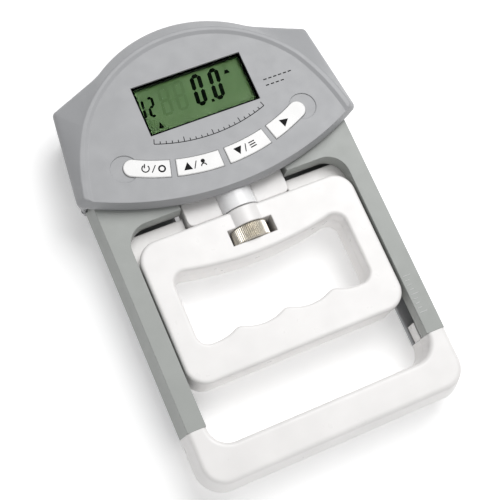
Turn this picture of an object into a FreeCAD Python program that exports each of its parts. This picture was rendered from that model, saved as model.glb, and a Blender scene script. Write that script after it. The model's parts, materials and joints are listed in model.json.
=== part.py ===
import FreeCAD, Part
import math
import os
import Sketcher

os.makedirs("parts", exist_ok=True)
doc = FreeCAD.newDocument("hand_dynamometer")

# ---------------------------------------------------------------- driving dimensions (mm, degrees)
# X runs across the object, Y from the palm bar up to the domed head, Z out of the display face.
DIMENSIONS = dict(
    # head: widest outline of the shell
    dome_top=95.8, dome_rad=58, dome_end=33, blend_rad=22, ear_slope=21.4,
    ear_half=58.9, low_half=63.8, smile_mid=16.2, smile_rad=134,
    # head: raised rim round the display panel
    rim_top=89.6, rim_rad=59, rim_side_rad=90, rim_low=60.8, rim_step=1.5,
    # levels along Z
    back_skin=3, parting=12, lip_level=15.4, arm_face=23.5, belt_level=26, rim_level=31,
    panel_level=30.4, ceiling=28.4, shell=2.4,
    # how far each level of the shell steps in from the widest outline
    parting_inset=2.4, back_inset=5,
    # arms
    arm_inner=49.6, arm_ridge=57.5, arm_bulge=60, arm_back=57.6, arm_wall=2.3, lip_wall=2.2,
    seam=-69.5, opening_top=16.9, opening_rad=9.5, notch_half=24.3, cover_split=34,
    # palm bar
    bar_inner=-79.1, bar_outer=-95.8, bar_corner=12, bar_inner_rad=9,
    tongue_len=8, tongue_gap=0.3,
    # sliding grip
    grip_half=48.7, grip_top=8.7, grip_bottom=-54.6, grip_corner=9, grip_split=15,
    grip_face=23, grip_back=3.6, grip_edge=1.4, flange_half=55.1, flange_top=15.2, flange_low=-44,
    flange_notch=24, notch_floor=9.1, hole_half=38.9, hole_top_mid=-11.5, hole_top_end=-7.6,
    hole_corner=5, scallop_high=-37.2, scallop_low=-39.6, scallop_pitch=21.2,
    scallop_crest=5,
    # adjusting gear
    stem_level=17.5, knob_rad=7.9, knob_low=-5.5, knob_high=1.25, window_half=10,
    window_low=-5.65, window_high=1.4, stem_rad=8.1, stem_low=9.3, stem_high=22.5,
    barrel_rad=3.5, barrel_high=41, screw_rad=2.4, screw_low=-9, screw_high=34, thread_gap=0.08,
    # load path
    block_half=23, block_low=9.4, block_high=21.5, block_back=6, block_face=19.5,
    cell_half=27.5, cell_low=24.5, cell_high=35.5, cell_back=3.4, cell_face=13.8,
    cell_clear=0.4, anchor_near=15, anchor_far=23, anchor_level=8.6, block_foot=10,
    # electronics
    board_half=42, board_low=27, board_high=74, board_back=21.3, board_face=22.9,
    window_wide=24.9, window_bottom=48.85, window_top=71.9,
    # keys: rings about one centre above the panel
    key_centre=114, key_inner=80.5, key_outer=88, key_gap=0.9, key_split=14, key_start=15.7,
    key_end=26.5, key_top=30.9, key_clear=0.15, dimple_rad=5.9, dimple_at=28.5, dimple_deep=0.35,
    # batteries and door
    cell_length=43.5, cell_rad=5.2, battery_lower=51.6, battery_upper=62.4, battery_level=8.5,
    door_half=26.6, door_low=45.2, door_high=68.8, door_thick=2, door_gap=0.2, door_lift=0.05,
    plate_in=25.4, plate_out=25.8, plate_back=4.5, plate_face=12.5, plate_half=4, lead_rad=0.6,
    nub_rad=1.9, nub_len=1, spring_tip=2.2, spring_base=3.6, spring_len=3.4,
    # portal in the head, bosses and seats in the housing
    rail_in=48.6, rail_out=53.2, portal_low=69, portal_high=73, portal_foot=20, portal_bevel=9,
    portal_face=20.5, boss_inset=1, arm_top=30, back_bevel=3, back_step=1.6, back_lean=0.8,
    throat_drop=8, throat_top=27, relief_len=4, tray_lap=0.6, tray_wall=1.2, tray_head=1,
    skirt_lean=1.4, rim_foot=3, rim_lip=1.4, rim_sag=6, arch_high=24, arch_low=10,
    dimple_ring=85, cap_share=0.5003, collar_grow=0.7, collar_low=27.3, cap_root=0.8,
    # palm bar's wall and tongues, and the grip's inner cuts
    bar_wall=2.6, tongue_side=0.6, tongue_root=2.5, tongue_slip=0.2,
    bore_end=9.4, window_clear=4, flange_lap=3, notch_lap=1, grip_head_sink=2, grip_pilot_end=20.5,
    # knob pin, brass nut and barrel
    pin_rad=0.8, pin_inset=0.6, nut_rad=3.6, nut_inset=0.4, nut_reach=10, barrel_cap=2,
    # load cell: its bores, screws, anchor, strain gauges and ribbon
    cell_bore_rad=3.4, cell_bore_at=6.5, slot_half=0.8, tap_rad=1.9, cell_head_rad=3.2,
    cell_head_len=3, cell_head_way=3.3, cell_head_seat=3.4, block_screw_near=12.8,
    block_screw_far=20, block_screw_level=9.9, block_screw_len=15.5, block_lap=2.6,
    block_tap=7, anchor_tap=8, anchor_lap=4, anchor_thick=3.4, anchor_face=15,
    anchor_screw_len=10.9, anchor_screw_in=7.5, gauge_len=6, gauge_thick=0.25, gauge_back=6.5,
    gauge_face=10.7, gauge_left=9.5, gauge_right=3.5, ribbon_in=4, ribbon_out=9,
    ribbon_top=42.4, ribbon_back=10.2, ribbon_thick=0.4,
    # display stack and key mat
    glass_back=25.6, glass_face=27.4, lens_back=29.5, lens_face=30.2, sill_inset=0.9,
    mask_lap=3, glass_side=1.6, glass_end=1.8, holder_wall=2, holder_head=1, strip_lap=1.6,
    board_corner=14, board_hole=1.15, mat_sweep=28, mat_thick=1, mat_crown=26.4, mat_dome_rad=2.8,
    buzzer_rad=5, buzzer_len=4, buzzer_x=19, buzzer_y=54,
    # posts and screws
    post_x=45.4, post_y=45, crown_post_x=27, crown_post_y=78.3, post_rad=2.4,
    board_post_x=34, board_post_y=44.5, upper_post_x=36, upper_post_y=58, board_post_rad=2.6,
    gusset_post_x=49.5, gusset_post_y=24, gusset_post_rad=3,
    tongue_screw_x=54.3, tongue_screw_y=-65.4, bar_screw_x=46, bar_screw_y=-87.4, bar_post_rad=2.8,
    pilot_rad=1.3, way_rad=1.35, head_way=2.6, head_sink=1.8, screw_head_rad=2.3,
    screw_head_len=1.4, screw_shank_rad=1.25, screw_shank_len=17.6, grip_shank_len=14.5,
    screw_sink=0.35, grip_screw_sink=0.55, cover_foot_rad=2.9, wide_post_rad=3.2,
    pilot_end=20, way_end=16, board_pilot_floor=10, board_pilot_rad=1.1, board_shank_len=10,
    board_head_rad=2.1, grip_screw_x=43.8, grip_screw_y=1, grip_lower_x=43.5, grip_lower_y=-47.5,
    # how far a cut runs past a face, a post runs into one, and parted faces stand apart
    over=1, bite=0.5, joint_gap=0.05, fit_gap=0.15, slip=0.3, seat_gap=0.4, cover_gap=1,
    # rounded edges
    shoulder_round=2.6, rim_round=0.8, key_round=0.4, bar_round=2, block_round=2.5,
)

sheet = doc.addObject("Spreadsheet::Sheet", "Dims")
for row, (alias, number) in enumerate(DIMENSIONS.items(), start=1):
    sheet.set(f"A{row}", alias)
    sheet.set(f"B{row}", str(number))
    sheet.setAlias(f"B{row}", alias)
doc.recompute()


# ---------------------------------------------------------------- sizes that stay bound to the sheet
class Size:
    """A size as a number, with the sheet expression that it comes from."""

    def __init__(self, number, text):
        self.number = number
        self.text = text

    def __neg__(self):
        return Size(-self.number, f"-({self.text})")

    def __add__(self, other):
        other = sized(other)
        return Size(self.number + other.number, f"({self.text} + {other.text})")

    def __sub__(self, other):
        other = sized(other)
        return Size(self.number - other.number, f"({self.text} - {other.text})")

    def __mul__(self, other):
        other = sized(other)
        return Size(self.number * other.number, f"({self.text}) * ({other.text})")

    def __truediv__(self, other):
        other = sized(other)
        return Size(self.number / other.number, f"({self.text}) / ({other.text})")

    __radd__ = __add__
    __rmul__ = __mul__

    def __rsub__(self, other):
        return sized(other) - self


def sized(value):
    """Turn a bare number into a Size and leave a Size alone."""
    if isinstance(value, Size):
        return value
    return Size(float(value), f"({float(value)})")


def root(value):
    return Size(math.sqrt(value.number), f"sqrt({value.text})")


def sine(angle):
    return Size(math.sin(math.radians(angle.number)), f"sin({angle.text})")


def cosine(angle):
    return Size(math.cos(math.radians(angle.number)), f"cos({angle.text})")


class Sheet:
    """Gives each alias of the spreadsheet as a Size, by its name."""

    def __getattr__(self, alias):
        return Size(float(sheet.get(alias)), f"Dims.{alias}")


d = Sheet()
ZERO = sized(0)
parts = []


def part(obj, name):
    """Mark a document object as a finished sub-part and give it its own label."""
    obj.Label = name
    parts.append(obj)
    return obj


# ---------------------------------------------------------------- sketches
def arc_between(start, end, radius, turn):
    """The smaller arc from start to end; turn is 1 for anticlockwise and -1 for clockwise."""
    chord = end - start
    half = chord.Length / 2
    rise = math.sqrt(max(radius * radius - half * half, 0.0))
    side = FreeCAD.Vector(-chord.y, chord.x, 0).normalize() * (turn * rise)
    centre = (start + end) / 2 + side
    first, last = (start, end) if turn > 0 else (end, start)
    begin = math.atan2(first.y - centre.y, first.x - centre.x)
    finish = math.atan2(last.y - centre.y, last.x - centre.x)
    if finish <= begin:
        finish += 2 * math.pi
    circle = Part.Circle(centre, FreeCAD.Vector(0, 0, 1), radius)
    return Part.ArcOfCircle(circle, begin, finish)


def pin_point(sketch, geometry, end, x, y):
    """Hold a point of the sketch at its bound coordinates."""
    for kind, axis, size in (("DistanceX", -2, sized(x)), ("DistanceY", -1, sized(y))):
        if abs(size.number) < 1e-9:
            sketch.addConstraint(Sketcher.Constraint("PointOnObject", geometry, end, axis))
        else:
            index = sketch.addConstraint(
                Sketcher.Constraint(kind, -1, 1, geometry, end, size.number))
            sketch.setExpression(f"Constraints[{index}]", size.text)


def draw_loop(sketch, steps):
    """Add one closed outline: a step is (x, y) for a line or (x, y, radius, turn) for an arc."""
    corners = [(sized(step[0]), sized(step[1])) for step in steps]
    spots = [FreeCAD.Vector(x.number, y.number, 0) for x, y in corners]
    first = sketch.GeometryCount
    ends = []
    for place, step in enumerate(steps):
        start = spots[place - 1]
        end = spots[place]
        if len(step) == 2:
            sketch.addGeometry(Part.LineSegment(start, end), False)
            ends.append((1, 2))
        else:
            sketch.addGeometry(arc_between(start, end, sized(step[2]).number, step[3]), False)
            ends.append((1, 2) if step[3] > 0 else (2, 1))
    count = len(steps)
    for place in range(count):
        follower = (place + 1) % count
        sketch.addConstraint(Sketcher.Constraint(
            "Coincident", first + place, ends[place][1], first + follower, ends[follower][0]))
        pin_point(sketch, first + place, ends[place][1], *corners[place])
        if len(steps[place]) == 4:
            radius = sized(steps[place][2])
            index = sketch.addConstraint(
                Sketcher.Constraint("Radius", first + place, radius.number))
            sketch.setExpression(f"Constraints[{index}]", radius.text)


def draw_circle(sketch, x, y, radius):
    x, y, radius = sized(x), sized(y), sized(radius)
    centre = FreeCAD.Vector(x.number, y.number, 0)
    geometry = sketch.addGeometry(
        Part.Circle(centre, FreeCAD.Vector(0, 0, 1), radius.number), False)
    pin_point(sketch, geometry, 3, x, y)
    index = sketch.addConstraint(Sketcher.Constraint("Radius", geometry, radius.number))
    sketch.setExpression(f"Constraints[{index}]", radius.text)


def sketch_on(body, plane, level, loops):
    """A sketch on one origin plane of the body, moved along its normal to a level.

    XY_Plane looks along Z. On XZ_Plane the sketch axes are X and Z and its normal is -Y.
    """
    sketch = body.newObject("Sketcher::SketchObject", "outline")
    origin = [item for item in body.Origin.OriginFeatures if item.Role == plane][0]
    sketch.AttachmentSupport = [(origin, "")]
    sketch.MapMode = "FlatFace"
    level = sized(level)
    sketch.setExpression("AttachmentOffset.Base.z", level.text)
    for loop in loops:
        if isinstance(loop, tuple):
            draw_circle(sketch, *loop)
        else:
            draw_loop(sketch, loop)
    return sketch


def pad(body, plane, low, high, loops):
    """Add material between two levels along the plane's normal."""
    feature = body.newObject("PartDesign::Pad", "pad")
    feature.Profile = sketch_on(body, plane, low, loops)
    feature.setExpression("Length", (sized(high) - low).text)
    doc.recompute()
    return feature


def pocket(body, plane, low, high, loops):
    """Remove material between two levels along the plane's normal."""
    before = body.Shape.Volume
    feature = body.newObject("PartDesign::Pocket", "pocket")
    feature.Profile = sketch_on(body, plane, high, loops)
    feature.setExpression("Length", (sized(high) - low).text)
    doc.recompute()
    if not body.Shape.Volume < before - 1e-6:
        raise RuntimeError(f"a pocket of {body.Label} cuts nothing")
    return feature


def loft(body, kind, levels):
    """A ruled loft down through outlines, each given as (level, steps), lowest first."""
    sketches = [sketch_on(body, "XY_Plane", level, [steps]) for level, steps in reversed(levels)]
    feature = body.newObject(kind, "loft")
    feature.Profile = sketches[0]
    feature.Sections = sketches[1:]
    feature.Ruled = True
    doc.recompute()
    return feature


def turn_about_y(body, level, loops):
    """Revolve outlines drawn in X and Y about the Y axis at one level of Z."""
    sketch = sketch_on(body, "XY_Plane", level, loops)
    feature = body.newObject("PartDesign::Revolution", "turned")
    feature.Profile = sketch
    feature.ReferenceAxis = (sketch, ["V_Axis"])
    feature.Angle = 360
    doc.recompute()
    return feature


def round_edges(body, radius, test):
    """Fillet the edges of the body's tip that pass a test on their end points."""
    tip = body.Tip
    names = []
    for number, edge in enumerate(tip.Shape.Edges, start=1):
        if test([vertex.Point for vertex in edge.Vertexes], edge):
            names.append(f"Edge{number}")
    if not names:
        raise RuntimeError(f"{body.Label} has no edge to round")
    feature = body.newObject("PartDesign::Fillet", "fillet")
    feature.Base = (tip, names)
    feature.setExpression("Radius", sized(radius).text)
    doc.recompute()
    return feature


def upright(points, edge):
    """True for a straight edge along Z."""
    return (len(points) == 2 and abs(points[0].x - points[1].x) < 1e-4
            and abs(points[0].y - points[1].y) < 1e-4)


def slanted(points):
    """True for an edge that climbs the head's side at an ear, a blend or a lower corner."""
    return abs(points[0].z - points[-1].z) > 2 and min(abs(point.x) for point in points) > 35


def level_at(points, level):
    """True for an edge that lies at one level of Z."""
    return all(abs(point.z - level) < 1e-3 for point in points)


def new_body(name):
    return part(doc.addObject("PartDesign::Body", name), name)


# ---------------------------------------------------------------- plain primitives and booleans
def place(obj, x, y, z):
    for axis, size in zip("xyz", (x, y, z)):
        obj.setExpression(f"Placement.Base.{axis}", sized(size).text)
    return obj


def block(x_range, y_range, z_range):
    """A box between three pairs of bound coordinates."""
    obj = doc.addObject("Part::Box", "block")
    for prop, (low, high) in zip(("Length", "Width", "Height"), (x_range, y_range, z_range)):
        obj.setExpression(prop, (sized(high) - low).text)
    return place(obj, x_range[0], y_range[0], z_range[0])


def rod(axis, radius, length, x, y, z):
    """A round rod that starts at a point and runs along X, Y or Z."""
    obj = doc.addObject("Part::Cylinder", "rod")
    turns = {"X": (FreeCAD.Vector(0, 1, 0), 90), "Y": (FreeCAD.Vector(1, 0, 0), -90),
             "Z": (FreeCAD.Vector(0, 0, 1), 0)}
    obj.Placement = FreeCAD.Placement(FreeCAD.Vector(), FreeCAD.Rotation(*turns[axis]))
    obj.setExpression("Radius", sized(radius).text)
    obj.setExpression("Height", sized(length).text)
    return place(obj, x, y, z)


def cut(base, *tools):
    """The base less each tool in turn."""
    for tool in tools:
        obj = doc.addObject("Part::Cut", "cut")
        obj.Base = base
        obj.Tool = tool
        base = obj
    return base


def join(*pieces):
    obj = doc.addObject("Part::MultiFuse", "join")
    obj.Shapes = list(pieces)
    return obj


def group(*pieces):
    """Several separate solids in one sub-part."""
    obj = doc.addObject("Part::Compound", "group")
    obj.Links = list(pieces)
    return obj


# ---------------------------------------------------------------- outlines
def head_outline(inset):
    """The head's outline: smile-shaped lower edge, leaning sides, ears and dome, stepped in."""
    inset = sized(inset)
    smile = d.smile_rad - inset
    low_x = d.low_half - inset
    low_y = d.smile_mid + d.smile_rad - root(smile * smile - low_x * low_x)
    dome_mid = d.dome_top - d.dome_rad
    lean_x = d.dome_end / d.dome_rad
    lean_y = root(d.dome_rad * d.dome_rad - d.dome_end * d.dome_end) / d.dome_rad
    dome = d.dome_rad - inset
    dome_x = dome * lean_x
    dome_y = dome_mid + dome * lean_y
    blend = d.blend_rad + inset
    blend_x = (d.dome_rad + d.blend_rad) * lean_x - blend * sine(d.ear_slope)
    blend_y = dome_mid + (d.dome_rad + d.blend_rad) * lean_y - blend * cosine(d.ear_slope)
    ear_x = d.ear_half - inset
    ear_y = blend_y - (ear_x - blend_x) * sine(d.ear_slope) / cosine(d.ear_slope)
    return [
        (low_x, low_y, smile, 1),
        (ear_x, ear_y),
        (blend_x, blend_y),
        (dome_x, dome_y, blend, -1),
        (-dome_x, dome_y, dome, 1),
        (-blend_x, blend_y, blend, -1),
        (-ear_x, ear_y),
        (-low_x, low_y),
    ]


def rim_outline(inset, low_inset=None):
    """The panel rim: the same eight stretches as the head, round one large arc."""
    inset = sized(inset)
    smile = d.smile_rad - sized(inset if low_inset is None else low_inset) - d.rim_step
    low_x = d.rim_low - inset
    low_y = d.smile_mid + d.smile_rad - root(smile * smile - low_x * low_x)
    arc = d.rim_rad - inset
    middle = d.rim_top - d.rim_rad
    side_share, ear_share, dome_share = 0.84, 0.66, 0.5
    side_x = arc * side_share
    side_y = middle + arc * root(sized(1 - side_share * side_share))
    ear_x = arc * ear_share
    ear_y = middle + arc * root(sized(1 - ear_share * ear_share))
    dome_x = arc * dome_share
    dome_y = middle + arc * root(sized(1 - dome_share * dome_share))
    return [
        (low_x, low_y, smile, 1),
        (side_x, side_y, d.rim_side_rad, 1),
        (ear_x, ear_y, arc, 1),
        (dome_x, dome_y, arc, 1),
        (-dome_x, dome_y, arc, 1),
        (-ear_x, ear_y, arc, 1),
        (-side_x, side_y, arc, 1),
        (-low_x, low_y, d.rim_side_rad, 1),
    ]


def rectangle(x_range, y_range):
    x0, x1 = x_range
    y0, y1 = y_range
    return [(x1, y0), (x1, y1), (x0, y1), (x0, y0)]


def rounded_rectangle(half, low, high, low_rad, high_rad):
    """A rectangle about the Y axis with its own corner radius below and above."""
    half, low, high = sized(half), sized(low), sized(high)
    low_rad, high_rad = sized(low_rad), sized(high_rad)
    return [
        (half - low_rad, low),
        (half, low + low_rad, low_rad, 1),
        (half, high - high_rad),
        (half - high_rad, high, high_rad, 1),
        (high_rad - half, high),
        (-half, high - high_rad, high_rad, 1),
        (-half, low + low_rad),
        (low_rad - half, low, low_rad, 1),
    ]


def finger_hole():
    """The grip's finger opening: bowed top edge and a lower edge with a scallop per finger.

    Each stretch runs smoothly into the next, so that the rim of the opening can be rounded.
    """
    half, corner, pitch, crest = d.hole_half, d.hole_corner, d.scallop_pitch, d.scallop_crest
    low = d.scallop_low
    rise = d.scallop_high - low
    radii = (pitch * pitch / 4 + rise * rise) / (rise * 2)
    valley = radii - crest
    step = crest * pitch / (radii * 2)
    shoulder = d.scallop_high - crest * rise / radii
    outermost = pitch * 3 / 2
    reach = half - corner
    lift = d.hole_top_end - d.hole_top_mid
    bow = (reach * reach + lift * lift) / (lift * 2)
    share = bow / (bow + corner)
    bow_middle = d.hole_top_mid + bow
    drop = root((bow + corner) * (bow + corner) - reach * reach)
    turn_level = bow_middle - drop
    end_x = reach * share
    end_y = bow_middle - drop * share
    steps = [(-reach, low, corner, 1), (-outermost, low)]
    for peak in (-pitch, ZERO, pitch):
        steps.append((peak - step, shoulder, valley, 1))
        steps.append((peak + step, shoulder, crest, -1))
    return steps + [
        (outermost, low, valley, 1),
        (reach, low),
        (half, low + corner, corner, 1),
        (half, turn_level),
        (end_x, end_y, corner, 1),
        (-end_x, end_y, bow, -1),
        (-half, turn_level, corner, 1),
        (-half, low + corner),
    ]


def key_outline(first, last, grow, round_end):
    """A key between two angles of the key ring, on the right; grow widens it all round."""
    grow = sized(grow)
    inner = d.key_inner - grow
    outer = d.key_outer + grow
    turn = grow * (180 / math.pi) / d.key_outer
    first = first - turn
    last = sized(last)
    if not round_end:
        last = last + turn
    middle = d.key_centre

    def spot(radius, angle):
        return radius * sine(angle), middle - radius * cosine(angle)

    start_inner = spot(inner, first)
    start_outer = spot(outer, first)
    end_outer = spot(outer, last)
    end_inner = spot(inner, last)
    if round_end:
        closing = (*end_inner, (outer - inner) * d.cap_share, 1)
    else:
        closing = end_inner
    return [
        (*end_outer, outer, 1),
        closing,
        (*start_inner, inner, -1),
        start_outer,
    ]


def flipped(steps):
    """The mirror image of a closed outline across the Y axis, still anticlockwise."""
    count = len(steps)
    result = []
    for index in range(count - 1, -1, -1):
        way = steps[(index + 1) % count][2:]
        result.append((-steps[index][0], steps[index][1], *way))
    return result


# ---------------------------------------------------------------- housing
def arm_sections(side):
    """The channel section of one arm in X and Z, as its front and back halves."""
    inner, lip = side * d.arm_inner, side * (d.arm_inner + d.lip_wall)
    ridge, bulge, back = side * d.arm_ridge, side * d.arm_bulge, side * d.arm_back
    wall = side * (d.arm_bulge - d.arm_wall)
    wall_front = side * (d.arm_ridge - d.arm_wall)
    skin = d.arm_face - d.lip_wall
    front = [
        (inner, d.lip_level), (lip, d.lip_level), (lip, skin), (wall_front, skin),
        (wall, d.parting), (bulge, d.parting), (ridge, d.arm_face), (inner, d.arm_face),
    ]
    rear = [
        (inner, ZERO), (side * (d.arm_back - d.back_bevel), ZERO), (back, d.back_bevel), (bulge, d.parting),
        (wall, d.parting), (side * (d.arm_back - d.arm_wall), d.back_skin),
        (inner, d.back_skin),
    ]
    return front, rear


def gusset():
    """The right-hand web between arm and head, with the rounded corner of the big opening."""
    inner, rad, top = d.arm_inner, d.opening_rad, d.opening_top
    return [
        (d.arm_ridge - d.arm_wall, top - rad),
        (d.arm_ridge - d.arm_wall, d.cover_split - d.cover_gap),
        (d.notch_half, d.cover_split - d.cover_gap),
        (d.notch_half, top),
        (inner - rad, top),
        (inner, top - rad, rad, -1),
    ]


def both(steps):
    """A right-hand outline together with its mirror image."""
    return [steps, flipped(steps)]


def pair(x, y, radius):
    """A circle on each side of the Y axis."""
    return [(x, y, radius), (-sized(x), y, radius)]


COVER_POSTS = (pair(d.post_x, d.post_y, d.post_rad)
               + pair(d.crown_post_x, d.crown_post_y, d.post_rad))
BOARD_POSTS = (pair(d.board_post_x, d.board_post_y, d.board_post_rad)
               + pair(d.upper_post_x, d.upper_post_y, d.board_post_rad))
GUSSET_POSTS = pair(d.gusset_post_x, d.gusset_post_y, d.gusset_post_rad)
TONGUE_SCREWS = pair(d.tongue_screw_x, d.tongue_screw_y, d.pilot_rad)
BAR_SCREWS = ([(ZERO, d.bar_screw_y, d.bar_post_rad)]
              + pair(d.bar_screw_x, d.bar_screw_y, d.bar_post_rad))
GRIP_SCREWS = (pair(d.grip_screw_x, d.grip_screw_y, d.pilot_rad)
               + pair(d.grip_lower_x, d.grip_lower_y, d.pilot_rad))


def resized(circles, radius):
    return [(x, y, radius) for x, y, _ in circles]


def make_front_frame():
    """Front half of both arms, the two gussets, and the portal that carries them in the head."""
    body = new_body("front_frame")
    rail_in, rail_out, foot, bevel = d.rail_in, d.rail_out, d.portal_foot, d.portal_bevel
    bar_low, bar_high = d.portal_low, d.portal_high
    portal = [
        (bevel - rail_out, bar_high), (-rail_out, bar_high - bevel), (-rail_out, foot),
        (-rail_in, foot), (-rail_in, bar_low - bevel), (bevel - rail_in, bar_low),
        (rail_in - bevel, bar_low), (rail_in, bar_low - bevel), (rail_in, foot),
        (rail_out, foot), (rail_out, bar_high - bevel), (rail_out - bevel, bar_high),
    ]
    pad(body, "XY_Plane", d.parting, d.portal_face, [portal])
    top = d.cover_split - d.cover_gap
    sections = [arm_sections(1)[0], flipped(arm_sections(1)[0])]
    pad(body, "XZ_Plane", -top, -d.seam, sections)
    pad(body, "XY_Plane", d.lip_level, d.arm_face, both(gusset()))
    board_in = d.board_half + d.seat_gap
    seat = rectangle((-board_in, board_in), (d.board_low - d.seat_gap, d.cover_split))
    pocket(body, "XY_Plane", d.board_back - d.slip, d.arm_face + d.over, [seat])
    boss_in, boss_out = d.arm_inner + d.boss_inset, d.arm_ridge - d.boss_inset
    boss = rectangle((boss_in, boss_out), (d.seam, d.seam + d.tongue_len))
    pad(body, "XY_Plane", d.lip_level, d.arm_face - d.boss_inset, both(boss))
    pocket(body, "XY_Plane", d.parting - d.over, d.pilot_end,
           resized(GUSSET_POSTS, d.pilot_rad) + TONGUE_SCREWS)
    pocket(body, "XY_Plane", d.parting - d.over, d.lip_level, resized(GUSSET_POSTS, d.wide_post_rad))
    return body


def make_back_case():
    """Back tub of the head with the back of both arms, battery tray, and board posts."""
    body = new_body("back_case")
    lean = d.back_inset - d.back_lean
    levels = [(ZERO, head_outline(d.back_inset + d.back_step)), (d.back_skin, head_outline(lean)),
              (d.parting, head_outline(d.parting_inset))]
    loft(body, "PartDesign::AdditiveLoft", levels)
    hollow = [(d.back_skin, head_outline(lean + d.shell)),
              (d.parting, head_outline(d.parting_inset + d.shell))]
    loft(body, "PartDesign::SubtractiveLoft", hollow)
    sections = [arm_sections(1)[1], flipped(arm_sections(1)[1])]
    pad(body, "XZ_Plane", -d.arm_top, -d.seam, sections)
    pad(body, "XY_Plane", ZERO, d.back_skin, both(gusset()))
    throat = rectangle((-d.notch_half, d.notch_half), (d.opening_top - d.throat_drop, d.throat_top))
    pocket(body, "XY_Plane", d.back_skin, d.parting + d.over, [throat])
    cell_in = d.cell_half + d.cell_clear
    relief = rectangle((-cell_in, cell_in), (d.cell_low - d.cell_clear, d.cell_low + d.relief_len))
    pocket(body, "XY_Plane", d.back_skin, d.parting + d.over, [relief])
    tray_in, tray_out = d.door_half - d.tray_lap, d.door_half + d.tray_wall
    tray = [rectangle((-tray_out, tray_out), (d.door_low - d.tray_wall, d.door_high + d.tray_head)),
            rectangle((-tray_in, tray_in), (d.door_low + d.seat_gap, d.door_high - d.tray_lap))]
    pad(body, "XY_Plane", d.back_skin - d.bite, d.parting, tray)
    door = rectangle((-d.door_half - d.door_gap, d.door_half + d.door_gap),
                     (d.door_low - d.door_gap, d.door_high + d.door_gap))
    pocket(body, "XY_Plane", -d.over, d.door_thick + d.seat_gap, [door])
    floor = rectangle((-tray_in, tray_in), (d.door_low + d.seat_gap, d.door_high - d.tray_lap))
    pocket(body, "XY_Plane", ZERO, d.back_skin + d.bite, [floor])
    pad(body, "XY_Plane", d.back_skin - d.bite, d.board_back, BOARD_POSTS)
    pad(body, "XY_Plane", d.back_skin - d.bite, d.parting, resized(COVER_POSTS, d.cover_foot_rad))
    pad(body, "XY_Plane", d.back_skin - d.bite, d.lip_level - d.joint_gap, GUSSET_POSTS)
    pocket(body, "XY_Plane", d.board_pilot_floor, d.board_back + d.over,
           resized(BOARD_POSTS, d.board_pilot_rad))
    shafts = COVER_POSTS + GUSSET_POSTS + TONGUE_SCREWS
    pocket(body, "XY_Plane", -d.over, d.way_end, resized(shafts, d.way_rad))
    pocket(body, "XY_Plane", -d.over, d.head_sink, resized(shafts, d.head_way))
    return body


def make_head_cover():
    """Front shell of the head: leaning skirt, shoulders, raised rim and sunken display panel."""
    body = new_body("head_cover")
    base = d.arm_face + d.fit_gap
    loft(body, "PartDesign::AdditiveLoft", [
        (d.parting + d.joint_gap, head_outline(d.parting_inset)), (d.belt_level, head_outline(ZERO)),
        (d.rim_level, rim_outline(ZERO))])
    belt = d.belt_level.number
    crest = d.rim_level.number
    round_edges(body, d.shoulder_round.number,
                lambda points, edge: slanted(points) or level_at(points, belt))
    round_edges(body, d.rim_round.number, lambda points, edge: level_at(points, crest))
    loft(body, "PartDesign::SubtractiveLoft", [
        (d.panel_level, rim_outline(d.rim_foot, -d.rim_sag)),
        (d.rim_level, rim_outline(d.rim_lip, -d.rim_sag))])
    loft(body, "PartDesign::SubtractiveLoft", [
        (d.parting, head_outline(d.parting_inset + d.shell)),
        (base, head_outline(d.shell + d.skirt_lean)), (d.ceiling, rim_outline(d.shell))])
    lap = d.arm_bulge + d.fit_gap
    apron = rectangle((-lap, lap), (0, d.cover_split))
    pocket(body, "XY_Plane", d.parting - d.over, base, [apron])
    arch = (ZERO, d.stem_level, d.stem_rad + d.seat_gap)
    pocket(body, "XZ_Plane", -d.arch_high, -d.arch_low, [arch])
    display = rectangle((-d.window_wide, d.window_wide), (d.window_bottom, d.window_top))
    pocket(body, "XY_Plane", d.ceiling - d.over, d.rim_level, [display])
    dimple_x = d.dimple_ring * sine(d.dimple_at)
    dimple_y = d.key_centre - d.dimple_ring * cosine(d.dimple_at)
    pocket(body, "XY_Plane", d.panel_level - d.dimple_deep, d.rim_level,
           pair(dimple_x, dimple_y, d.dimple_rad))
    for outline in key_outlines(d.key_clear):
        pocket(body, "XY_Plane", d.ceiling - d.over, d.rim_level, [outline])
    pad(body, "XY_Plane", d.parting + d.joint_gap, d.ceiling + d.bite, COVER_POSTS)
    pocket(body, "XY_Plane", d.parting - d.over, d.pilot_end, resized(COVER_POSTS, d.pilot_rad))
    return body


def key_outlines(grow):
    """The four keys from left to right, grown all round."""
    middle = key_outline(d.key_gap, d.key_split, grow, False)
    outer = key_outline(d.key_start, d.key_end, grow, True)
    return [flipped(outer), flipped(middle), middle, outer]


def make_keys():
    """Four keys with a collar under the cover that stops them from falling out."""
    names = ("button_power", "button_up", "button_down", "button_start")
    caps = key_outlines(ZERO)
    collars = key_outlines(d.collar_grow)
    for name, cap, collar in zip(names, caps, collars):
        body = new_body(name)
        pad(body, "XY_Plane", d.collar_low, d.ceiling - d.slip, [collar])
        pad(body, "XY_Plane", d.ceiling - d.cap_root, d.key_top, [cap])
        round_edges(body, d.key_round.number,
                    lambda points, edge: level_at(points, d.key_top.number))


# ---------------------------------------------------------------- palm bar
def bar_outline(inset, wall):
    """The U of the palm bar: inset steps its outer side in, wall steps both sides in."""
    outer = d.arm_bulge - inset - wall
    low = d.bar_outer + inset + wall
    corner = d.bar_corner - inset - wall
    inner = d.arm_inner + wall
    inner_low = d.bar_inner - wall
    bend = d.bar_inner_rad + wall
    seam = d.seam - wall
    return [
        (-outer, seam), (-outer, low + corner), (corner - outer, low, corner, 1),
        (outer - corner, low), (outer, low + corner, corner, 1), (outer, seam),
        (inner, seam), (inner, inner_low + bend), (inner - bend, inner_low, bend, -1),
        (bend - inner, inner_low), (-inner, inner_low + bend, bend, -1), (-inner, seam),
    ]


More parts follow.
